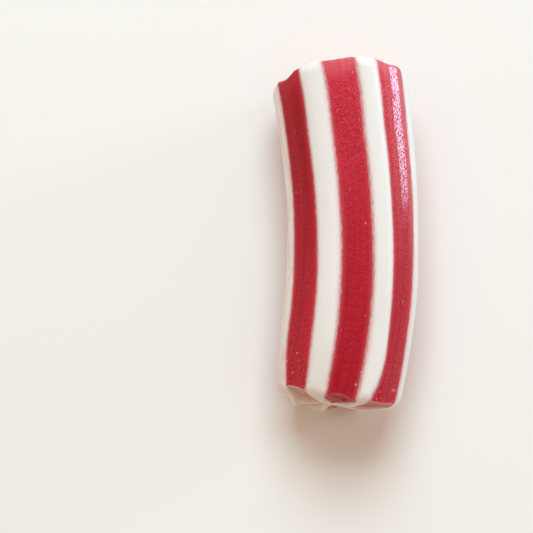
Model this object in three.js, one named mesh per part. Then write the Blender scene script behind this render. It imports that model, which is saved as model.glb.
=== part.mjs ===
import * as THREE from "three";

// A cut length of striped sugar candy. The rope it was cut from has six white ribs that meet
// at a hub in the middle, and six red wedges laid between them, all running from end to end.
// It was bent a little while soft. Nipping it off left the ribs bulging at both ends and the
// red wedges scooped out. It lies on its lowest red stripe.
//
// Millimetres, +Z up. The rope runs along Y, with the near end at -Y, and bows towards +X.
// Angles round the rope are in degrees from the top (+Z) towards +X. The origin is on the
// surface the candy lies on, under the middle of its bounding box.

// Driving dimensions of the whole rope
const LENGTH = 36.9; // between the two cuts, along the centre line
const FLAT_RADIUS = 6.58; // from the centre line to the middle of a red stripe
const CORNER_SHARPNESS = 10; // 2 would be round, and much more a true hexagon
const REST_DEPTH = 6.55; // from the centre line down to the flattened underside
const BOW = 1.98; // how far both ends lie to one side of the middle
const BOW_SKEW = 0.22; // share by which the near end bends more and the far end less
const TWIST = 10.5; // degrees that the section turns from the near end to the far end
const BACK_TURN = { turn: 1.8, start: 0.78, full: 0.94 }; // how much it turns back near the far end
const PINCH = 0.165; // share by which the nip pressed one side of the near end in
const PINCH_SIDE = 295; // the direction that it pressed from, in degrees
const PINCH_REACH = 0.2; // share of the length that it reached
const FLARE = 0.046; // share by which the far end is thicker
const FLARE_REACH = 0.5; // share of the length over which it thickens

// A crease down the right side: its height as a share of the radius, the middle and half-width
// of its ridge in degrees, and between which shares of the length it rises to full height
const CREASE = { height: 0.066, middle: 64.5, half: 12, start: 0.36, full: 0.62 };
const CREASE_ROUNDING = 0.12; // share of the half-width over which its crest is rounded

// The six red stripes: middle and half-width in degrees on the skin, how deeply the near and
// the far cut notch their rims, and how far the white rib that follows bulges at those cuts
const STRIPES = [
  { name: "top", middle: 1.9, half: 14.9, notches: [0.35, 0.05], crowns: [0.4, 0.2] },
  { name: "right", middle: 55, half: 18.7, notches: [-0.1, 0.05], crowns: [0.4, 0.15] },
  { name: "lower_right", middle: 111, half: 14.5, notches: [0.3, 0.3], crowns: [0.05, 0.35] },
  { name: "bottom", middle: 163.5, half: 12, notches: [0.45, 0.25], crowns: [0.8, 0.5] },
  { name: "lower_left", middle: 228, half: 22, notches: [-0.5, 0.35], crowns: [0.8, 0.3] },
  { name: "left", middle: 305.7, half: 19.6, notches: [0.1, 0.3], crowns: [0.4, 0.3] },
];

// The white ribs and the red wedges inside
const WEB = 0.84; // thickness of a rib's inner part
const FLARE_POWER = 3.5; // how late a rib widens towards the skin
const RIB_LEAN = 4; // degrees, at most, that a rib's inner end swings aside
const RIB_PROUD = 0.14; // how far a rib stands out of the skin
const VALLEY_RADIUS = 1; // from the centre to the valley between two ribs
const WEDGE_TIP_RADIUS = 1.27; // from the centre to a red wedge's inner edge
const SEAM = 0.1; // gap between the red and the white

// The two cuts, near and far: degrees that each turns towards the side and towards the top,
// how much it falls back to both sides, and how far the hub sinks into it
const CUTS = [
  { slant: 4.2, tilt: -1.9, fallback: 0.02, hubSink: -0.2 },
  { slant: -2.5, tilt: 0, fallback: -0.0165, hubSink: 0.1 },
];
const RED_RIM = 0.25; // rounding between a red stripe and its cut
const RIB_RIM = 1.3; // rounding between a rib and its cut
const RIB_ROUNDNESS = 2.4; // of a rib's bulge from wall to wall: 2 is a circle's arc
const SWELL = { start: 0.1, full: 0.6 }; // shares of the radius between which the bulge rises

// How a red wedge is hollowed behind its rim: how deep, and the shares of the radius between
// which it deepens and rises again, and between which its rim's notch deepens
const SCOOP = { depth: 0.3, start: 0.15, full: 0.78, rising: 0.82, end: 0.95 };
const NOTCH = { start: 0.3, full: 0.9 };
const DISH_WIDTH = 0.8; // share of a wedge's width that the hollow takes up, from the side before
const DISH_ROUNDNESS = 0.7; // 1 is half a sine wave, and less has steeper sides

// Where the rim of the near cut is pushed round: by how many degrees, about which angle, and
// how far that reaches round the skin, in from the skin and along
const PUSH = { turn: 7.5, angle: 36, half: 20, start: 0.6, reach: 0.16 };

// The small tip pulled out of one rib at the near cut: which rib, at which share of the
// radius, how far it spreads as a share of the radius, and its height
const NIB = { rib: 4, share: 0.77, reach: 0.1, height: 0.65 };

// How finely the surfaces are cut into facets
const RIB_COLUMNS = 6;
const WEDGE_COLUMNS = 6;
const SHARES = [0.2, 0.42, 0.62, 0.77, 0.9, 1]; // of the skin's radius, from the hub outwards
const SIDE_STEPS = 14;
const RIM_TURNS = [90, 60, 30]; // degrees round the rim, from the cut to the side

const radians = THREE.MathUtils.degToRad;
const degrees = THREE.MathUtils.radToDeg;
const { lerp, smoothstep, clamp } = THREE.MathUtils;

// A repeatable draw from 0 to 1 (Park and Miller's generator)
let seed = 1207;
function draw() {
  seed = (seed * 16807) % 2147483647;
  return seed / 2147483647;
}

// Radius of the skin: six flat sides with well rounded corners.
function skinRadius(angle) {
  let sum = 0;
  for (const side of [0, 60, 120]) {
    sum += Math.abs(Math.cos(radians(angle - side))) ** CORNER_SHARPNESS;
  }
  return FLAT_RADIUS * sum ** (-1 / CORNER_SHARPNESS);
}

// The rib between one red stripe and the next one round.
const RIBS = STRIPES.map((before, index) => {
  const after = STRIPES[(index + 1) % STRIPES.length];
  const from = before.middle + before.half;
  const width = (after.middle - after.half - from + 360) % 360;
  const middle = from + width / 2;
  return {
    middle,
    skinHalf: skinRadius(middle) * Math.sin(radians(width / 2)),
    lean: RIB_LEAN * (2 * draw() - 1),
    crowns: before.crowns,
    tip: index === NIB.rib ? NIB.height : 0,
  };
});

// Angle of a rib's wall: side is -1 for the wall before the rib, 1 for the one after it.
function wallAngle(rib, share, side, gap) {
  const half = WEB / 2 + (rib.skinHalf - WEB / 2) * share ** FLARE_POWER + gap;
  const turn = degrees(Math.asin(half / (share * skinRadius(rib.middle))));
  return rib.middle + rib.lean * (1 - share) ** 2 + side * turn;
}

// The angle from one direction round to another.
function angleBetween(from, to) {
  return (to - from + 720) % 360;
}

// A spot is one point of the section: its share of the skin's radius, its angle, how far it
// stands proud of the skin, the rounding at its rim, and its heights above the two cuts.
function ribSpot(rib, share, across) {
  const ridge = Math.sqrt(Math.max(0, 1 - Math.abs(across) ** RIB_ROUNDNESS)); // 1 in its middle
  const from = wallAngle(rib, share, -1, 0);
  const to = wallAngle(rib, share, 1, 0);
  const swell = ridge * smoothstep(share, SWELL.start, SWELL.full);
  const tip = rib.tip * ridge * Math.exp(-(((share - NIB.share) / NIB.reach) ** 2));
  const [near, far] = CUTS.map((cut, c) => rib.crowns[c] * swell - cut.hubSink * (1 - share));
  return {
    share,
    angle: lerp(from, to, (across + 1) / 2),
    proud: RIB_PROUD * ridge,
    rim: lerp(RED_RIM, RIB_RIM, ridge),
    heights: [near + tip, far],
  };
}

function wedgeSpot(stripe, before, after, share, across) {
  const from = wallAngle(before, share, 1, SEAM);
  const to = wallAngle(after, share, -1, SEAM);
  const hollow = Math.sin(Math.PI * Math.min(1, across / DISH_WIDTH)) ** DISH_ROUNDNESS;
  const deepening = smoothstep(share, SCOOP.start, SCOOP.full);
  const scooped = SCOOP.depth * deepening * (1 - smoothstep(share, SCOOP.rising, SCOOP.end));
  const notched = smoothstep(share, NOTCH.start, NOTCH.full);
  return {
    share,
    angle: from + angleBetween(from, to) * across,
    proud: 0,
    rim: RED_RIM,
    heights: CUTS.map(
      (cut, c) => -(scooped + stripe.notches[c] * notched) * hollow - cut.hubSink * (1 - share),
    ),
  };
}

// A spot close to the hub, midway between two ribs.
function midwaySpot(before, after, radius) {
  const share = radius / FLAT_RADIUS;
  const from = before.middle + before.lean;
  const to = after.middle + after.lean;
  return {
    share,
    angle: from + angleBetween(from, to) / 2,
    proud: 0,
    rim: RED_RIM,
    heights: CUTS.map((cut) => -cut.hubSink * (1 - share)),
  };
}

// A station is one cross-section: along runs from 0 at the near end to 1 at the far end, and
// turn from 90 on the cut to 0 on the side, so that the rims are rounded.
const STATIONS = [
  ...RIM_TURNS.map((turn) => ({ along: 0, turn })),
  ...Array.from({ length: SIDE_STEPS + 1 }, (_, step) => ({ along: step / SIDE_STEPS, turn: 0 })),
  ...RIM_TURNS.toReversed().map((turn) => ({ along: 1, turn })),
];

// The bowed centre line: how far it lies to the side at a distance along, and its slope there.
function centreLine(t) {
  const u = t / (LENGTH / 2);
  return {
    offset: -BOW * u ** 2 * (1 - BOW_SKEW * u),
    slope: (-BOW * (2 * u - 3 * BOW_SKEW * u ** 2)) / (LENGTH / 2),
  };
}

// How thick the rope is in a direction, as a share of its thickness in the middle.
function girth(angle, along) {
  const side = Math.max(0, Math.cos(radians(angle - PINCH_SIDE))) ** 2;
  const near = clamp(1 - along / PINCH_REACH, 0, 1) ** 2;
  const far = clamp(1 - (1 - along) / FLARE_REACH, 0, 1) ** 2;
  const aside = (angle - CREASE.middle) / CREASE.half;
  const crest = Math.max(0, 1 - Math.hypot(aside, CREASE_ROUNDING));
  const crease = CREASE.height * crest * smoothstep(along, CREASE.start, CREASE.full);
  return 1 - PINCH * side * near + FLARE * far + crease;
}

// Degrees from the top at which a spot lies at a station.
function direction({ share, angle }, along) {
  const back = BACK_TURN.turn * smoothstep(along, BACK_TURN.start, BACK_TURN.full);
  const aside = clamp((angle - PUSH.angle) / PUSH.half, -1, 1);
  const around = Math.cos((Math.PI / 2) * aside) ** 2;
  const near = clamp(1 - along / PUSH.reach, 0, 1) ** 3;
  const pushed = PUSH.turn * around * near * smoothstep(share, PUSH.start, 1);
  return angle - TWIST * (along - 0.5) + back - pushed;
}

// Where a spot lies in space at a station.
function place(spot, { along, turn }) {
  const inset = spot.rim * (1 - Math.cos(radians(turn)));
  const setback = spot.rim * (1 - Math.sin(radians(turn)));
  const skin = skinRadius(spot.angle) * girth(spot.angle, along);
  const radius = spot.share * (skin + spot.proud - inset);
  const angle = radians(direction(spot, along));
  const x = radius * Math.sin(angle);
  const z = radius * Math.cos(angle);
  const [near, far] = CUTS.map(({ slant, tilt, fallback }) => {
    return x * Math.tan(radians(slant)) + z * Math.tan(radians(tilt)) + fallback * x ** 2;
  });
  const t = lerp(
    near - LENGTH / 2 - spot.heights[0] + setback,
    far + LENGTH / 2 + spot.heights[1] - setback,
    along,
  );
  const { offset, slope } = centreLine(t);
  const across = new THREE.Vector2(1, -slope).normalize();
  return new THREE.Vector3(
    offset + x * across.x,
    t + x * across.y,
    Math.max(z, -REST_DEPTH) + REST_DEPTH,
  );
}

// A section holds its spots, the faces that fill it and the loop of spots round its outside,
// both turning the way that angles do.
function wedgeSection(index) {
  const before = RIBS[(index + RIBS.length - 1) % RIBS.length];
  const after = RIBS[index];
  const spots = [midwaySpot(before, after, WEDGE_TIP_RADIUS)];
  const faces = [];
  const at = (row, column) => 1 + row * (WEDGE_COLUMNS + 1) + column;
  for (const share of SHARES) {
    for (let column = 0; column <= WEDGE_COLUMNS; column++) {
      spots.push(wedgeSpot(STRIPES[index], before, after, share, column / WEDGE_COLUMNS));
    }
  }
  for (let column = 0; column < WEDGE_COLUMNS; column++) {
    faces.push([at(0, column), at(0, column + 1), 0]);
  }
  addGridFaces(faces, at, WEDGE_COLUMNS);
  return { spots, faces, loop: [0, ...outline(at, WEDGE_COLUMNS)] };
}

function ribsSection() {
  const spots = [midwaySpot(RIBS[0], RIBS[0], 0)];
  const faces = [];
  const loop = [];
  const spotsPerRib = 1 + SHARES.length * (RIB_COLUMNS + 1);
  RIBS.forEach((rib, index) => {
    const valley = spots.length;
    const nextValley = 1 + ((index + 1) % RIBS.length) * spotsPerRib;
    const at = (row, column) => valley + 1 + row * (RIB_COLUMNS + 1) + column;
    spots.push(midwaySpot(RIBS[(index + RIBS.length - 1) % RIBS.length], rib, VALLEY_RADIUS));
    for (const share of SHARES) {
      for (let column = 0; column <= RIB_COLUMNS; column++) {
        spots.push(ribSpot(rib, share, (2 * column) / RIB_COLUMNS - 1));
      }
    }
    faces.push([valley, at(0, 0), 0]);
    for (let column = 0; column < RIB_COLUMNS; column++) {
      faces.push([at(0, column), at(0, column + 1), 0]);
    }
    faces.push([at(0, RIB_COLUMNS), nextValley, 0]);
    addGridFaces(faces, at, RIB_COLUMNS);
    loop.push(valley, ...outline(at, RIB_COLUMNS));
  });
  return { spots, faces, loop };
}

function addGridFaces(faces, at, columns) {
  for (let row = 1; row < SHARES.length; row++) {
    for (let column = 0; column < columns; column++) {
      faces.push([at(row, column), at(row, column + 1), at(row - 1, column)]);
      faces.push([at(row, column + 1), at(row - 1, column + 1), at(row - 1, column)]);
    }
  }
}

// Out along the first wall, round the skin, and back along the second wall.
function outline(at, columns) {
  const skin = SHARES.length - 1;
  const inner = [...SHARES.keys()].slice(0, skin);
  return [
    ...inner.map((row) => at(row, 0)),
    ...Array.from({ length: columns + 1 }, (_, column) => at(skin, column)),
    ...inner.toReversed().map((row) => at(row, columns)),
  ];
}

// Sweeps a section's loop through the stations and closes both ends with its faces.
function sweep({ spots, faces, loop }) {
  const points = [];
  const corners = [];
  const numbers = STATIONS.map(() => new Map());
  const number = (spot, station) => {
    if (!numbers[station].has(spot)) {
      numbers[station].set(spot, points.length);
      points.push(place(spots[spot], STATIONS[station]));
    }
    return numbers[station].get(spot);
  };
  const last = STATIONS.length - 1;
  for (let station = 0; station < last; station++) {
    loop.forEach((spot, index) => {
      const next = loop[(index + 1) % loop.length];
      corners.push(number(spot, station), number(next, station), number(next, station + 1));
      corners.push(number(spot, station), number(next, station + 1), number(spot, station + 1));
    });
  }
  for (const [a, b, c] of faces) {
    corners.push(number(a, last), number(b, last), number(c, last));
    corners.push(number(c, 0), number(b, 0), number(a, 0));
  }
  const geometry = new THREE.BufferGeometry().setFromPoints(points);
  geometry.setIndex(corners);
  geometry.computeVertexNormals();
  return geometry;
}

const whiteSugar = new THREE.MeshStandardMaterial({ color: 0xebe4d8, roughness: 0.45, metalness: 0 });
const redSugar = new THREE.MeshStandardMaterial({ color: 0xb4222f, roughness: 0.38, metalness: 0 });

const candy = new THREE.Group();
const ribs = new THREE.Mesh(sweep(ribsSection()), whiteSugar);
ribs.name = "white_ribs";
candy.add(ribs);
STRIPES.forEach(({ name }, index) => {
  const wedge = new THREE.Mesh(sweep(wedgeSection(index)), redSugar);
  wedge.name = "red_wedge_" + name;
  candy.add(wedge);
});

// Stands the candy over the origin.
const middle = new THREE.Box3().setFromObject(candy).getCenter(new THREE.Vector3());
candy.position.set(-middle.x, -middle.y, 0);

export default candy;
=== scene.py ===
import math

import bpy
import numpy as np
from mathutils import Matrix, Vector, noise


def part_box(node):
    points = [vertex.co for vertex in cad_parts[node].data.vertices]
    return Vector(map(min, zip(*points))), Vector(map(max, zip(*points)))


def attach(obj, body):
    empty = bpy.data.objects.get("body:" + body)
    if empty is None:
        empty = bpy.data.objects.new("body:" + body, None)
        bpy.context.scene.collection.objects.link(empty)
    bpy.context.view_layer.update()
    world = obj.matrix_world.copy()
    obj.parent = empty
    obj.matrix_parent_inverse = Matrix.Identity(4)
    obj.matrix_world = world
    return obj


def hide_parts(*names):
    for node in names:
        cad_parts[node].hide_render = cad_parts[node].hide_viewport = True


# A cut stick of striped sugar candy, lying on a pale table. Sizes are in millimetres until a
# mesh is made, and angles round the stick are in degrees from its top (+Z) towards +X.
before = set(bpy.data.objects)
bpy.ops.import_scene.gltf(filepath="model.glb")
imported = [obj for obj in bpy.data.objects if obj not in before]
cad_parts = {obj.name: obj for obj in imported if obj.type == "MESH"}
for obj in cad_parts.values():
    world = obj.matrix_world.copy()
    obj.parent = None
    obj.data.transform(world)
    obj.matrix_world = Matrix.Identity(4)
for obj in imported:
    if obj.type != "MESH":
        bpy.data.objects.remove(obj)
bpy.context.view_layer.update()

# ---------------------------------------------------------------------------------------------
# The six white ribs: pulled sugar, full of fine air, that meets at a hub in the middle of the
# stick. They were laid between the red wedges while hot, drawn out, bowed a little and nipped
# off, so that they stand slightly proud of the red and bulge at both cuts.

MM = 0.001
LENGTH = 36.9  # between the two cuts, along the centre line
FLAT_RADIUS = 6.58  # from the centre line to the middle of a red stripe
CORNER_SHARPNESS = 10  # 2 would be round, and much more a true hexagon
REST_DEPTH = 6.55  # from the centre line down to the flattened underside
BOW = 1.98  # how far both ends lie to one side of the middle
BOW_SKEW = 0.22  # share by which the near end bends more and the far end less
TWIST = 10.5  # degrees that the section turns from the near end to the far end
BACK_TURN = dict(turn=1.8, start=0.78, full=0.94)  # what it turns back close to the far end
PINCH = 0.165  # share by which the nip pressed one side of the near end in
PINCH_SIDE = 295  # the direction that it pressed from
PINCH_REACH = 0.2  # share of the length that it reached
FLARE = 0.046  # share by which the far end is thicker
FLARE_REACH = 0.5  # share of the length over which it thickens

# A crease that stands up along the right side: its height as a share of the radius, where its
# middle lies, its half-width, how blunt it is, and between which shares of the length it rises.
CREASE = dict(height=0.066, middle=64.5, half=12, bluntness=0.12, start=0.36, full=0.62)

# Each red stripe: middle and half-width on the skin, how deeply the near and the far cut notch
# its rim, where less than 0 stands out, and how far the white rib that follows bulges there.
STRIPES = {
    "top": dict(middle=1.9, half=14.9, notches=(0.35, 0.05), crowns=(0.4, 0.2)),
    "right": dict(middle=55, half=18.7, notches=(-0.1, 0.05), crowns=(0.4, 0.15)),
    "lower_right": dict(middle=111, half=14.5, notches=(0.3, 0.3), crowns=(0.05, 0.35)),
    "bottom": dict(middle=163.5, half=12, notches=(0.45, 0.25), crowns=(0.8, 0.5)),
    "lower_left": dict(middle=228, half=22, notches=(-0.5, 0.35), crowns=(0.8, 0.3)),
    "left": dict(middle=305.7, half=19.6, notches=(0.1, 0.3), crowns=(0.4, 0.3)),
}
WEB = 0.84  # thickness of a rib's inner part
FLARE_POWER = 3.5  # how late a rib widens towards the skin
RIB_LEAN = 4  # degrees, at most, that a rib's inner end swings aside
LEAN_SEED = 1207
RIB_PROUD = 0.14  # how far a rib stands out of the skin
RIB_ROUNDNESS = 2.4  # 2 would round it like an ellipse, and more makes it flatter
SWELL = dict(start=0.1, full=0.6)  # shares of the radius between which a rib starts to bulge
VALLEY_RADIUS = 1  # from the centre to the valley between two ribs
RIB_RIM = 1.3  # rounding between a rib and its cut
RED_RIM = 0.25  # rounding between a red stripe and its cut

# The two cuts, near and far: degrees that each turns towards the side and towards the top,
# how much it falls back to both sides, and how far the hub sinks into it.
CUTS = (
    dict(slant=4.2, tilt=-1.9, fallback=0.02, hub_sink=-0.2),
    dict(slant=-2.5, tilt=0, fallback=-0.0165, hub_sink=0.1),
)

# Where the cutter pushed the rim of the near cut round: by how many degrees, about which angle,
# and how far that reached round the skin, in from the skin and along.
PUSH = dict(turn=7.5, angle=36, half=20, start=0.6, reach=0.16)

# The small tip that it pulled out of one rib there.
NIB = dict(rib=4, share=0.77, reach=0.1, height=0.65)

ROWS = 18  # of spots across a rib or a wedge, from beside the hub out to the skin
ROWS_REACH = 0.824  # the more, the nearer to the hub the first row is
ROWS_CROWDING = 1.15  # 1 would space them evenly, and more crowds them at the skin
SHARES = 1 - np.linspace(ROWS_REACH, 0, ROWS) ** ROWS_CROWDING
RIB_COLUMNS = 26
SIDE_STEPS = 200
RIM_STEPS = 11


def smoothstep(value, low, high):
    share = np.clip((value - low) / (high - low), 0, 1)
    return share * share * (3 - 2 * share)


def lerp(first, second, share):
    return first + (second - first) * share


def repeatable_draws(seed, count):
    """Numbers from 0 to 1, by multiplying and taking the remainder again and again."""
    multiplier, modulus = 16807, 2147483647
    draws = []
    for _ in range(count):
        seed = seed * multiplier % modulus
        draws.append(seed / modulus)
    return draws


def skin_radius(angle):
    """Radius of the skin: six flat sides with well rounded corners."""
    facing = (np.abs(np.cos(np.radians(angle - side))) for side in (0, 60, 120))
    sides = sum(cosine**CORNER_SHARPNESS for cosine in facing)
    return FLAT_RADIUS * sides ** (-1 / CORNER_SHARPNESS)


def rib_between(before, after, drawn):
    """The rib from one red stripe to the next one round."""
    start = before["middle"] + before["half"]
    width = (after["middle"] - after["half"] - start) % 360
    middle = start + width / 2
    return dict(
        middle=middle,
        skin_half=skin_radius(middle) * math.sin(math.radians(width / 2)),
        lean=RIB_LEAN * (2 * drawn - 1),
        crowns=before["crowns"],
    )


stripes = list(STRIPES.values())
leans = repeatable_draws(LEAN_SEED, len(stripes))
RIBS = list(map(rib_between, stripes, stripes[1:] + stripes[:1], leans))


def wall_angle(rib, share, side):
    """Angle of a rib's wall: side is -1 for the wall before the rib, 1 for the one after it."""
    half = WEB / 2 + (rib["skin_half"] - WEB / 2) * share**FLARE_POWER
    turn = np.degrees(np.arcsin(half / (share * skin_radius(rib["middle"]))))
    return rib["middle"] + rib["lean"] * (1 - share) ** 2 + side * turn


def spots(share, angle, heights, proud=0.0, rim=RED_RIM, seam=0.0):
    """Points of a section, one to a row: share of the skin's radius, angle, how far it stands
    proud, the rounding at its rim, its heights above both cuts, and how far off the other
    colour is."""
    columns = np.broadcast_arrays(share, angle, proud, rim, *heights, seam)
    return np.stack([np.ravel(column) for column in columns], 1).astype(float)


def sunk(share):
    """Heights of the two cuts over a section, without what bulges out of them."""
    return [-cut["hub_sink"] * (1 - share) for cut in CUTS]


def rib_spots(rib, nib):
    """The spots of a rib, row by row. The nib is pulled out of it where nib is true."""
    across, share = np.meshgrid(np.linspace(-1, 1, RIB_COLUMNS + 1), SHARES)
    ridge = np.sqrt(np.maximum(0, 1 - np.abs(across) ** RIB_ROUNDNESS))  # 1 in the rib's middle
    first, last = wall_angle(rib, share, -1), wall_angle(rib, share, 1)
    swell = ridge * smoothstep(share, SWELL["start"], SWELL["full"])
    near, far = (crown * swell + base for crown, base in zip(rib["crowns"], sunk(share)))
    tip = NIB["height"] * ridge * np.exp(-(((share - NIB["share"]) / NIB["reach"]) ** 2))
    return spots(
        share,
        lerp(first, last, (across + 1) / 2),
        [near + nib * tip, far],
        proud=RIB_PROUD * ridge,
        rim=lerp(RED_RIM, RIB_RIM, ridge),
        seam=np.radians(last - first) * share * FLAT_RADIUS * (1 - np.abs(across)) / 2,
    )


def midway_spot(before, after):
    """The spot in the valley between two ribs, close to the hub."""
    share = VALLEY_RADIUS / FLAT_RADIUS
    start = before["middle"] + before["lean"]
    gap = (after["middle"] + after["lean"] - start) % 360
    return spots(share, start + gap / 2, sunk(share))


def numbered(first, columns):
    """The numbers of a grid of spots, and its quads."""
    grid = first + np.arange(len(SHARES) * (columns + 1)).reshape(len(SHARES), columns + 1)
    quads = np.stack([grid[1:, :-1], grid[1:, 1:], grid[:-1, 1:], grid[:-1, :-1]], -1)
    return grid, quads.reshape(-1, 4).tolist()


def outline(grid):
    """Out along the first wall, round the skin, and back along the second wall."""
    return [*grid[:-1, 0], *grid[-1], *grid[-2::-1, -1]]


def ribs_section():
    """The spots of all six ribs, the faces that fill them, and the loop round their outside."""
    hub = 0
    rows, faces, loop = [spots(0, 0, sunk(0))], [], []
    valleys = 1 + np.arange(len(RIBS) + 1) * (1 + len(SHARES) * (RIB_COLUMNS + 1))
    valleys[-1] = valleys[0]
    for number, rib in enumerate(RIBS):
        valley, next_valley = valleys[number], valleys[number + 1]
        grid, quads = numbered(valley + 1, RIB_COLUMNS)
        rows += [midway_spot(RIBS[number - 1], rib), rib_spots(rib, number == NIB["rib"])]
        faces += quads
        inner = [valley, *grid[0], next_valley]
        faces += [[spot, after, hub] for spot, after in zip(inner, inner[1:])]
        loop += [valley, *outline(grid)]
    return np.concatenate(rows), faces, loop


def stations():
    """The cross-sections that a section is swept through: how far along each is, from 0 to 1,
    and degrees round the rim, from 90 on the cut to 0 on the side."""
    turns = np.linspace(90, 0, RIM_STEPS, endpoint=False)
    near = np.stack([np.zeros(RIM_STEPS), turns], 1)
    side = np.stack([np.linspace(0, 1, SIDE_STEPS + 1), np.zeros(SIDE_STEPS + 1)], 1)
    far = np.stack([np.ones(RIM_STEPS), turns[::-1]], 1)
    return np.concatenate([near, side, far])


STATIONS = stations()


def girth(angle, along):
    """How thick the rope is in a direction, as a share of its thickness in the middle."""
    side = np.maximum(0, np.cos(np.radians(angle - PINCH_SIDE))) ** 2
    near = np.clip(1 - along / PINCH_REACH, 0, 1) ** 2
    far = np.clip(1 - (1 - along) / FLARE_REACH, 0, 1) ** 2
    aside = np.hypot((angle - CREASE["middle"]) / CREASE["half"], CREASE["bluntness"])
    rise = smoothstep(along, CREASE["start"], CREASE["full"])
    crease = CREASE["height"] * np.maximum(0, 1 - aside) * rise
    return 1 - PINCH * side * near + FLARE * far + crease


def direction(share, angle, along):
    """Degrees from the top at which a spot lies at a station."""
    back = BACK_TURN["turn"] * smoothstep(along, BACK_TURN["start"], BACK_TURN["full"])
    aside = np.clip((angle - PUSH["angle"]) / PUSH["half"], -1, 1)
    around = np.cos(np.pi / 2 * aside) ** 2
    near = np.clip(1 - along / PUSH["reach"], 0, 1) ** 3
    pushed = PUSH["turn"] * around * near * smoothstep(share, PUSH["start"], 1)
    return angle - TWIST * (along - 0.5) + back - pushed


def straight(section, at):
    """Where spots lie at stations of the straight rope: to the side, along, and up."""
    share, angle, proud, rim, near_height, far_height = section[:, :6].T
    along, turn = at.T[:, :, None]
    inset = rim * (1 - np.cos(np.radians(turn)))
    setback = rim * (1 - np.sin(np.radians(turn)))
    radius = share * (skin_radius(angle) * girth(angle, along) + proud - inset)
    turned = np.radians(direction(share, angle, along))
    x, z = radius * np.sin(turned), radius * np.cos(turned)
    near, far = (
        x * math.tan(math.radians(cut["slant"]))
        + z * math.tan(math.radians(cut["tilt"]))
        + x**2 * cut["fallback"]
        for cut in CUTS
    )
    first = near - LENGTH / 2 - near_height + setback
    last = far + LENGTH / 2 + far_height - setback
    return np.stack([x, lerp(first, last, along), z], -1)


LUMPS = dict(size=(3.2, 9, 3.2), depth=0.07)  # soft unevenness from pulling by hand
DRAWN_LINES = dict(size=(0.9, 3.5, 0.9), depth=0.022)  # drawn out along the rope
SHARP_EDGE = 50  # degrees, which the edge between the skin and the walls between colours passes

# Blender's vector noise starts from the clock, so it differs from run to run unless it is seeded.
UNEVEN_SEED = 3
noise.seed_set(UNEVEN_SEED)


def uneven(places):
    """Places moved as handwork would, and alike for two pieces that meet there."""
    moved = places.copy()
    for wave in (LUMPS, DRAWN_LINES):
        offsets = [noise.noise_vector(Vector(place)) for place in places / wave["size"]]
        moved += wave["depth"] * np.array(offsets)
    return moved


def bent(places):
    """Places of the straight rope moved to the bowed one, above the face it lies on."""
    x, t, z = places.T
    u = t / (LENGTH / 2)
    offset = -BOW * u**2 * (1 - BOW_SKEW * u)
    slope = -BOW * (2 * u - 3 * BOW_SKEW * u**2) / (LENGTH / 2)
    size = np.hypot(1, slope)
    height = np.maximum(z, -REST_DEPTH) + REST_DEPTH
    return np.stack([offset + x / size, t - x * slope / size, height], 1)


def packed_shift(section):
    """From the rope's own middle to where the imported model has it."""
    places = bent(straight(section, STATIONS).reshape(-1, 3))
    packed = sum(np.array(corner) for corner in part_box("white_ribs")) / 2 / MM
    return (packed - (places.min(0) + places.max(0)) / 2) * (1, 1, 0)


def swept_piece(name, section, faces, loop):
    """Sweeps a section's loop through the stations and closes both ends with its faces."""
    inside = np.setdiff1d(np.arange(len(section)), loop)
    ring = straight(section[loop], STATIONS)
    caps = straight(section[inside], STATIONS[[0, -1]])
    places = np.concatenate([ring.reshape(-1, 3), caps.reshape(-1, 3)])
    ring_numbers = np.arange(ring[..., 0].size).reshape(ring.shape[:2])
    cap_numbers = ring[..., 0].size + np.arange(caps[..., 0].size).reshape(caps.shape[:2])
    ends = np.zeros((2, len(section)), int)
    ends[:, loop] = ring_numbers[[0, -1]]
    ends[:, inside] = cap_numbers
    near, far = ends
    corners = [ring_numbers[:-1], np.roll(ring_numbers[:-1], -1, 1)]
    corners += [np.roll(ring_numbers[1:], -1, 1), ring_numbers[1:]]
    polygons = np.stack(corners, -1).reshape(-1, 4).tolist()
    polygons += [far[face].tolist() for face in faces]
    polygons += [near[face[::-1]].tolist() for face in faces]

    mesh = bpy.data.meshes.new(name)
    finished = (bent(uneven(places)) + SHIFT) * MM
    mesh.from_pydata(finished.tolist(), [], polygons)
    mesh.shade_smooth()
    mesh.set_sharp_from_angle(angle=math.radians(SHARP_EDGE))
    seam = section[:, -1]
    seams = np.concatenate([np.tile(seam[loop], len(STATIONS)), np.tile(seam[inside], 2)])
    cuts = np.ones(len(places))
    cuts[: ring_numbers.size] = np.repeat(np.sin(np.radians(STATIONS[:, 1])) ** 2, len(loop))

    # For the materials: the place on the straight rope, how far off the other colour is, and how
    # much a point belongs to a cut, from 0 on the side to 1.
    mesh.attributes.new("rope", "FLOAT_VECTOR", "POINT").data.foreach_set("vector", places.ravel())
    mesh.attributes.new("seam", "FLOAT", "POINT").data.foreach_set("value", seams)
    mesh.attributes.new("cut", "FLOAT", "POINT").data.foreach_set("value", cuts)
    piece = bpy.data.objects.new(name, mesh)
    bpy.context.scene.collection.objects.link(piece)
    return piece


ribs_shape = ribs_section()
SHIFT = packed_shift(ribs_shape[0])
ribs = swept_piece("ribs_white_sugar", *ribs_shape)


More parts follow.
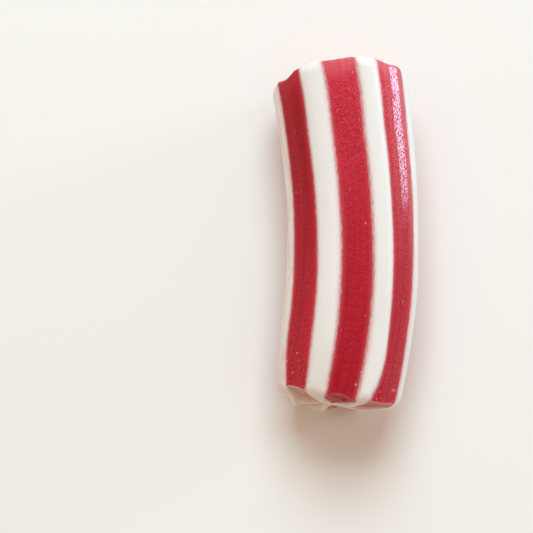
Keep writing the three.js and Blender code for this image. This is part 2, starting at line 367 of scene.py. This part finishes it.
class Recipe:
    """The shader nodes of one material."""

    def __init__(self, name):
        self.material = bpy.data.materials.new(name)
        self.material.use_nodes = True
        self.tree = self.material.node_tree
        self.tree.nodes.clear()

    def node(self, kind, settings=None, sockets=None, output=0):
        """Adds a node: its settings first, then a value or an Amount for each socket."""
        node = self.tree.nodes.new("ShaderNode" + kind)
        for setting, value in (settings or {}).items():
            setattr(node, setting, value)
        for socket, value in (sockets or {}).items():
            if isinstance(value, Amount):
                self.tree.links.new(value.socket, node.inputs[socket])
            else:
                node.inputs[socket].default_value = value
        return Amount(self, node.outputs[output]) if node.outputs else None

    def attribute(self, name, output):
        return self.node("Attribute", {"attribute_name": name}, output=output)

    def clouds(self, size, detail=2):
        """Noise from 0 to 1 in patches of a size in millimetres: across, along and up."""
        rope = self.attribute("rope", "Vector")
        stretched = self.node("VectorMath", {"operation": "DIVIDE"}, {0: rope, 1: size})
        return self.node("TexNoise", {}, {"Vector": stretched, "Scale": 1, "Detail": detail})

    def place(self, axis):
        """Where on the rope a point is, in millimetres: X to the side, Y along, Z up."""
        return self.node("SeparateXYZ", {}, {0: self.attribute("rope", "Vector")}, output=axis)

    def radius(self):
        """How far from the rope's centre line a point is, in millimetres."""
        rope = self.attribute("rope", "Vector")
        across = self.node("VectorMath", {"operation": "MULTIPLY"}, {0: rope, 1: (1, 0, 1)})
        return self.node("VectorMath", {"operation": "LENGTH"}, {0: across}, output="Value")

    def most(self, first, second):
        return first.math("MAXIMUM", first, second)

    def ramp(self, amount, low, high):
        """0 below low, 1 above high, and smooth between them."""
        sockets = {"Value": amount, "From Min": low, "From Max": high}
        return self.node("MapRange", {"interpolation_type": "SMOOTHSTEP"}, sockets)

    def mix(self, share, first, second):
        """A colour between two colours."""
        return self.node("Mix", {"data_type": "RGBA"}, {0: share, 6: first, 7: second}, output=2)

    def bump(self, height, depth, normal=None):
        """The normal over a relief whose height of 1 is depth, in millimetres."""
        sockets = {"Height": height, "Distance": depth * MM, "Strength": 1.0}
        if normal is not None:
            sockets["Normal"] = normal
        return self.node("Bump", {}, sockets)

    def finish(self, **sockets):
        """The material, from the shader's sockets by name, with _ for a space."""
        named = {name.replace("_", " "): value for name, value in sockets.items()}
        shader = self.node("BsdfPrincipled", {}, named)
        self.node("OutputMaterial", {}, {"Surface": shader})
        return self.material


class Amount:
    """The output of a node. Sums with it add Math nodes to its recipe."""

    def __init__(self, recipe, socket):
        self.recipe, self.socket = recipe, socket

    def math(self, operation, first, second):
        return self.recipe.node("Math", {"operation": operation}, {0: first, 1: second})

    def __add__(self, other):
        return self.math("ADD", self, other)

    def __sub__(self, other):
        return self.math("SUBTRACT", self, other)

    def __rsub__(self, other):
        return self.math("SUBTRACT", other, self)

    def __mul__(self, other):
        return self.math("MULTIPLY", self, other)

    __radd__, __rmul__ = __add__, __mul__


def shade(red, green, blue):
    """A colour as it shows on a screen, from 0 to 255, for a shader."""
    levels = [level / 255 for level in (red, green, blue)]
    return (*((v / 12.92 if v < 0.04045 else ((v + 0.055) / 1.055) ** 2.4) for v in levels), 1.0)


SEAM_WAVER = 0.3  # how far the edge between two colours wanders from side to side
SEAM_BLUR = 0.24  # how far the colours run into each other, on either side of it
SHADED_WHITE = shade(227, 219, 207)
BRIGHT_WHITE = shade(241, 237, 231)
# Pink of the stain beside the red, and of the painted shade on the left side.
PINK_STAIN_AND_SHADE = shade(224, 152, 146)
DULL_WHITE = shade(229, 213, 200)
RED_THROUGH_WHITE = shade(186, 36, 48)


def torn(recipe, seam, side):
    """How far the other colour shows through at the skin: half at the seam, and in small uneven
    teeth. Side is 1 in the white and -1 in the red."""
    fray = recipe.clouds((0.2, 0.7, 0.2))
    skin = recipe.ramp(recipe.radius(), 5.4, 6)
    return recipe.ramp(side * SEAM_WAVER * (fray - 0.5) - seam, -SEAM_BLUR, SEAM_BLUR) * skin


def white_sugar():
    """Waxy white with a faint cream cast and a chalky grain, lighter towards the far end as
    painted light. It is stained pink where it touches the red, carries painted shade with a pink
    cast along its left side, and is duller and beige at the near cut."""
    recipe = Recipe("white_sugar")
    seam = recipe.attribute("seam", "Fac")
    along = recipe.place("Y")

    patches = recipe.clouds((2.0, 12.0, 2.0), detail=3)
    chalk = recipe.clouds((0.2, 0.45, 0.2))
    # Lighter towards the far end, where more light falls: painted light.
    brightness = 0.6 * patches + 0.5 * (chalk - 0.5) + 0.4 * recipe.ramp(along, -20, 20)
    body = recipe.mix(brightness, SHADED_WHITE, BRIGHT_WHITE)

    bleed = recipe.clouds((0.5, 3.5, 0.5), detail=3)
    beside_red = (1 - recipe.ramp(seam - 0.45 * bleed, -0.2, 0.3)) * 0.4
    # Pink on the left side: painted shade with a red cast, streaked like folds.
    left_side = recipe.ramp(-1 * recipe.place("X"), 4.2, 6)
    left_side_painted_shade = left_side * recipe.ramp(bleed, 0.35, 0.75) * 0.45
    stained_and_shaded = recipe.mix(recipe.most(beside_red, left_side_painted_shade), body, PINK_STAIN_AND_SHADE)

    near_cut = recipe.ramp(-1 * along, 16.9, 18.4)
    dulled = recipe.mix(near_cut * (0.5 + 0.5 * patches), stained_and_shaded, DULL_WHITE)
    pores = recipe.clouds((0.3, 1.2, 0.3), detail=3)
    return recipe.finish(
        Base_Color=recipe.mix(torn(recipe, seam, 1), dulled, RED_THROUGH_WHITE),
        Roughness=0.42 + 0.12 * patches,
        Specular_IOR_Level=0.35,
        Subsurface_Weight=0.25,
        Subsurface_Radius=(1.0, 0.8, 0.6),
        Subsurface_Scale=0.5 * MM,
        Normal=recipe.bump(pores, 0.02),
    )


def dressed(piece, material, node):
    piece.data.materials.append(material)
    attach(piece, "root")
    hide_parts(node)


dressed(ribs, white_sugar(), "white_ribs")

# ---------------------------------------------------------------------------------------------
# The six red wedges: clearer boiled sugar, which fills the gaps between the ribs from the hub to
# the skin. Drawing the rope left fine lines along them, and the nip hollowed out their ends.

WEDGE_COLUMNS = 24
DISH_WIDTH = 0.8  # share of a wedge's width that its dish takes up, from the side before
DISH_ROUNDNESS = 0.7  # 1 would round it like a sine wave, and less makes it flatter
NOTCH = dict(start=0.3, full=0.9)  # shares of the radius between which a notch deepens

# How much deeper a dish is scooped out behind its rim: the shares of the radius between which
# the scoop deepens, and those between which it comes back up.
SCOOP = dict(depth=0.3, start=0.15, full=0.78, back=0.82, end=0.95)


def wedge_section(stripe, before, after):
    """The spots of a wedge, the faces that fill it, and the loop round its outside."""
    across, share = np.meshgrid(np.linspace(0, 1, WEDGE_COLUMNS + 1), SHARES)
    start = wall_angle(before, share, 1)
    width = (wall_angle(after, share, -1) - start) % 360
    hollow = np.sin(np.pi * np.minimum(1, across / DISH_WIDTH)) ** DISH_ROUNDNESS
    scooped = SCOOP["depth"] * smoothstep(share, SCOOP["start"], SCOOP["full"])
    scooped *= 1 - smoothstep(share, SCOOP["back"], SCOOP["end"])
    notched = smoothstep(share, NOTCH["start"], NOTCH["full"])
    section = spots(
        share,
        start + width * across,
        [
            base - (scooped + notch * notched) * hollow
            for notch, base in zip(stripe["notches"], sunk(share))
        ],
        seam=np.radians(width) * share * FLAT_RADIUS * np.minimum(across, 1 - across),
    )
    grid, faces = numbered(1, WEDGE_COLUMNS)
    faces += [[spot, after, 0] for spot, after in zip(grid[0], grid[0][1:])]
    tip = midway_spot(before, after)
    return np.concatenate([tip, section]), faces, [0, *outline(grid)]


CLEAR_RED = shade(200, 40, 55)
DEEP_RED = shade(138, 8, 17)
# Pale pink of the flecks, which are partly painted glints.
FLECK_AND_GLINT_PINK = shade(228, 88, 104)
NICK_PINK = shade(236, 190, 190)
# Pink of the bleed beside the white, and of painted reflection, highlight and light.
BLEED_AND_SHEEN_PINK = shade(230, 112, 122)
SMEARED_WHITE = shade(234, 210, 198)
WHITE_THROUGH_RED = shade(232, 214, 206)


def red_sugar(name, depths_and_shading, grains_and_glints, glaze, smear):
    """Deep red with drawn lines, a fine grain, pale nicks and pinker edges where the white bleeds
    in. Depth of colour, which also paints light and shade along the stripe, and strength of the
    pale flecks, which are partly painted glints, are given at the near and the far end. A painted
    reflection pales the rope's right side, a painted highlight runs round the rims of the cuts,
    and painted light shines through close to the far cut. Glaze is how strongly the surface
    glints, and smear how much of the white was dragged over the near cut."""
    recipe = Recipe(name)
    seam = recipe.attribute("seam", "Fac")
    cut = recipe.attribute("cut", "Fac")
    along = recipe.place("Y")
    further = recipe.ramp(along, -18, 18)
    nearer = 1 - further

    streaks = recipe.clouds((0.5, 14.0, 0.5), detail=3)
    bands = recipe.clouds((1.6, 30.0, 1.6), detail=1)
    ripples = recipe.clouds((0.7, 0.28, 0.7))
    # Depth along each stripe paints light and shade: paler where more light falls.
    depth = depths_and_shading[0] + (depths_and_shading[1] - depths_and_shading[0]) * further
    uneven_depth = 0.5 * (streaks - 0.5) + 0.65 * (bands - 0.5) + 0.5 * (ripples - 0.5)
    # Paler close to the far cut: painted light shining through the end.
    deepness_and_shading = depth + uneven_depth - 0.3 * recipe.ramp(along, 12, 18)
    body = recipe.mix(deepness_and_shading, CLEAR_RED, DEEP_RED)

    # Pale flecks: sugar crystals, and painted glints where they grow strong.
    grain = recipe.clouds((0.15, 0.15, 0.15), detail=1)
    strength = grains_and_glints[0] * nearer * nearer + grains_and_glints[1] * further * further
    flecked_and_glinting = recipe.mix(recipe.ramp(grain, 0.45, 0.75) * strength, body, FLECK_AND_GLINT_PINK)

    rubbed = 0.18 * grains_and_glints[0] * recipe.ramp(-1 * along, 11, 17)
    nicks = recipe.ramp(recipe.clouds((0.26, 0.45, 0.26), detail=0) + rubbed, 0.83, 0.9)
    nicked = recipe.mix(nicks * 0.55, flecked_and_glinting, NICK_PINK)

    beside_white = (1 - recipe.ramp(seam - 0.3 * streaks, -0.1, 0.55)) * 0.24
    # Paler along the rope's right side: a painted reflection.
    right_side_reflection = recipe.ramp(recipe.place("X") + 0.03 * along, 5.7, 6.5) * 0.3
    # Paler rims round the cuts: a painted highlight.
    cut_rim_highlight = cut * (1 - cut) * 1.8
    # Paler and pinker at the far cut: painted light shining through the end.
    far_end_lit_through = recipe.ramp(along, 15.6, 18.6) * (0.15 + 1.5 * grains_and_glints[1] * streaks)
    # Pink from the bleed beside the white, together with the painted light above.
    bleed_and_painted_light = recipe.most(recipe.most(beside_white, right_side_reflection), recipe.most(far_end_lit_through, cut_rim_highlight))
    with_bleed_and_painted_light = recipe.mix(bleed_and_painted_light, nicked, BLEED_AND_SHEEN_PINK)

    smears = recipe.clouds((0.9, 0.9, 0.9), detail=3)
    near_cut = recipe.ramp(cut + 0.5 * smears, 0.42, 0.95) * recipe.ramp(along, 0, -1)
    smeared = recipe.mix(near_cut * (0.6 * smears + smear), with_bleed_and_painted_light, SMEARED_WHITE)

    sparks = recipe.clouds((0.12, 0.24, 0.12), detail=1)
    glints = recipe.ramp(sparks + 0.06 * recipe.ramp(along, 11, 17), 0.4, 0.58)
    far_half = recipe.ramp(along, -8, 7) - 0.6 * recipe.ramp(along, 16.8, 18.2)
    glazed = recipe.ramp(seam, 0.3, 1.2) * far_half * glaze
    return recipe.finish(
        Base_Color=recipe.mix(torn(recipe, seam, -1), smeared, WHITE_THROUGH_RED),
        Roughness=0.36 + 0.1 * streaks,
        Specular_IOR_Level=0.04,
        Subsurface_Weight=0.1,
        Subsurface_Radius=(1.0, 0.2, 0.2),
        Subsurface_Scale=0.4 * MM,
        Coat_Weight=glints * glazed,
        Coat_Roughness=0.24,
        Normal=recipe.bump(grain, 0.03, recipe.bump(ripples, 0.05, recipe.bump(streaks, 0.04))),
    )


# Each wedge's finish: its depths also paint light and shade, and its grains partly glints.
FINISHES = dict(
    top=dict(depths_and_shading=(0.62, 0.27), grains_and_glints=(0.1, 0.75), glaze=0.2, smear=-0.22),
    right=dict(depths_and_shading=(0.51, 0.16), grains_and_glints=(0.5, 1.1), glaze=1, smear=0.0),
    lower_right=dict(depths_and_shading=(0.6, 0.6), grains_and_glints=(0.15, 0.2), glaze=0.3, smear=-0.3),
    bottom=dict(depths_and_shading=(0.5, 0.5), grains_and_glints=(0.15, 0.2), glaze=0.3, smear=0.1),
    lower_left=dict(depths_and_shading=(0.6, 0.6), grains_and_glints=(0.15, 0.2), glaze=0.3, smear=0.25),
    left=dict(depths_and_shading=(0.38, 0.62), grains_and_glints=(0.4, 0.05), glaze=0, smear=0.3),
)
for number, (name, stripe) in enumerate(STRIPES.items()):
    wedge_shape = wedge_section(stripe, RIBS[number - 1], RIBS[number])
    wedge = swept_piece(f"wedge_{name}_red_sugar", *wedge_shape)
    sugar = red_sugar(f"red_sugar_{name}", **FINISHES[name])
    dressed(wedge, sugar, f"red_wedge_{name}")

# ---------------------------------------------------------------------------------------------
# The table top: a smooth pale surface with no visible edge or grain.

TABLE_HALF = 1.0  # metres, so that its edges lie far outside the picture
TABLE_CREAM = shade(243, 239, 230)


def table_top():
    recipe = Recipe("pale_table")
    mesh = bpy.data.meshes.new("table_top")
    directions = ((-1, -1), (1, -1), (1, 1), (-1, 1))
    corners = [(x * TABLE_HALF, y * TABLE_HALF, 0) for x, y in directions]
    mesh.from_pydata(corners, [], [(0, 1, 2, 3)])
    mesh.materials.append(recipe.finish(Base_Color=TABLE_CREAM, Roughness=0.7))
    table = bpy.data.objects.new("table_top", mesh)
    bpy.context.scene.collection.objects.link(table)


table_top()

# ---------------------------------------------------------------------------------------------
# Light: a large soft window beyond the far end, a small low one to the right, which draws the
# glints, and warm pale walls all round. Sizes and distances are in metres.

WINDOW_DISTANCE = 0.8


def window(name, azimuth, elevation, size, watts, colour):
    """An area light that faces the candy, from an azimuth in degrees from +X towards +Y."""
    light = bpy.data.lights.new(name, "AREA")
    light.shape, light.size, light.size_y = "RECTANGLE", *size
    light.energy, light.color = watts, colour
    lamp = bpy.data.objects.new(name, light)
    a, e = math.radians(azimuth), math.radians(elevation)
    away = Vector((math.cos(a) * math.cos(e), math.sin(a) * math.cos(e), math.sin(e)))
    lamp.location = away * WINDOW_DISTANCE
    lamp.rotation_mode = "QUATERNION"
    lamp.rotation_quaternion = away.to_track_quat("Z", "Y")
    bpy.context.scene.collection.objects.link(lamp)


def room_light(strength, colour):
    world = bpy.data.worlds.new("pale_room")
    world.use_nodes = True
    background = world.node_tree.nodes["Background"]
    background.inputs["Color"].default_value = (*colour, 1)
    background.inputs["Strength"].default_value = strength
    bpy.context.scene.world = world


window("window", 91, 53, size=(0.55, 0.5), watts=5.8, colour=(0.66, 0.85, 1.0))
window("low_window", 18, 7, size=(0.18, 0.13), watts=2.5, colour=(0.5, 0.76, 1.0))
room_light(strength=0.57, colour=(1.0, 0.78, 0.63))

# ---------------------------------------------------------------------------------------------
# The camera looks down on the candy from the near side, with the candy right of the middle.

SENSOR = 36  # Blender's own sensor width
ELEVATION = 80  # degrees above the table
DISTANCE = 300
VIEW_WIDTH = 58.7  # what the picture takes in at that distance
AIM = Vector((-8.73, -3.06, 6.0))


def camera():
    data = bpy.data.cameras.new("camera")
    data.sensor_width = SENSOR
    data.lens = SENSOR * DISTANCE / VIEW_WIDTH
    e = math.radians(ELEVATION)
    back = Vector((0, -math.cos(e), math.sin(e)))
    eye = bpy.data.objects.new("camera", data)
    eye.location = (AIM + back * DISTANCE) * MM
    eye.rotation_mode = "QUATERNION"
    eye.rotation_quaternion = back.to_track_quat("Z", "Y")
    bpy.context.scene.collection.objects.link(eye)
    bpy.context.scene.camera = eye


camera()
bpy.context.scene.view_settings.view_transform = "Standard"
